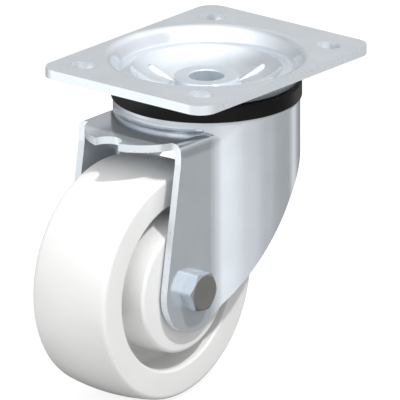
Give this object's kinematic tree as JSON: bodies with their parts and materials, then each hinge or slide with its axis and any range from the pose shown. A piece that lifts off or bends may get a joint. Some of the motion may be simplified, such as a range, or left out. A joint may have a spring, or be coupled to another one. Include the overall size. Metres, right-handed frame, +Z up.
{
  "type": "swivel castor",
  "caption": "Swivel castor with a slotted top plate, a pressed steel fork on a double ball race, and a one-piece white nylon wheel on ball bearings.",
  "frame": {"origin": "centre of the top plate's upper face, on the swivel axis", "axes": "+Z up along the swivel axis, out of the plate's face; X along the axle, with the bolt head at +X; Y along the plate's long side, the wheel trailing toward -Y"},
  "size_m": [0.11, 0.185, 0.169],
  "materials": {
    "zinc_plate": "satin",
    "zinc_turned": "satin",
    "ball_steel": "polished",
    "cage_brass": "satin",
    "black_rubber": "matte",
    "white_nylon": "satin"
  },
  "bodies": {
    "plate": {"top_plate": "zinc_plate", "kingpin": "zinc_turned", "dust_seal": "black_rubber", "lower_race": "zinc_turned"},
    "fork": {"fork": "zinc_plate", "axle_bolt": "zinc_turned", "axle_nut": "zinc_turned", "axle_tube": "zinc_turned", "bearing_spacer": "zinc_turned", "left_end_spacer": "zinc_turned", "right_end_spacer": "zinc_turned", "left_inner_ring": "ball_steel", "right_inner_ring": "ball_steel"},
    "upper_ball_row": {"upper_balls": "ball_steel"},
    "lower_ball_row": {"lower_balls": "ball_steel"},
    "wheel": {"wheel": "white_nylon", "left_outer_ring": "ball_steel", "right_outer_ring": "ball_steel", "left_outboard_seal": "black_rubber", "left_inboard_seal": "black_rubber", "right_outboard_seal": "black_rubber", "right_inboard_seal": "black_rubber"},
    "left_cage": {"left_bearing_cage": "cage_brass", "left_bearing_balls": "ball_steel"},
    "right_cage": {"right_bearing_cage": "cage_brass", "right_bearing_balls": "ball_steel"}
  },
  "joints": [
    {"name": "swivel", "type": "hinge", "parent": "plate", "child": "fork", "pos_m": [0, 0, 0], "axis": [0, 0, 1], "continuous": true},
    {"name": "upper_ball_orbit", "type": "hinge", "parent": "plate", "child": "upper_ball_row", "pos_m": [0, 0, 0], "axis": [0, 0, 1], "continuous": true},
    {"name": "lower_ball_orbit", "type": "hinge", "parent": "plate", "child": "lower_ball_row", "pos_m": [0, 0, 0], "axis": [0, 0, 1], "continuous": true},
    {"name": "wheel_spin", "type": "hinge", "parent": "fork", "child": "wheel", "pos_m": [0, -0.0525, -0.1065], "axis": [1, 0, 0], "continuous": true},
    {"name": "left_cage_spin", "type": "hinge", "parent": "fork", "child": "left_cage", "pos_m": [0, -0.0525, -0.1065], "axis": [1, 0, 0], "continuous": true},
    {"name": "right_cage_spin", "type": "hinge", "parent": "fork", "child": "right_cage", "pos_m": [0, -0.0525, -0.1065], "axis": [1, 0, 0], "continuous": true}
  ],
  "couplings": [
    {"joint": "upper_ball_orbit", "follows": "swivel", "ratio": 0.5},
    {"joint": "lower_ball_orbit", "follows": "swivel", "ratio": 0.5},
    {"joint": "left_cage_spin", "follows": "wheel_spin", "ratio": 0.619},
    {"joint": "right_cage_spin", "follows": "wheel_spin", "ratio": 0.619}
  ]
}
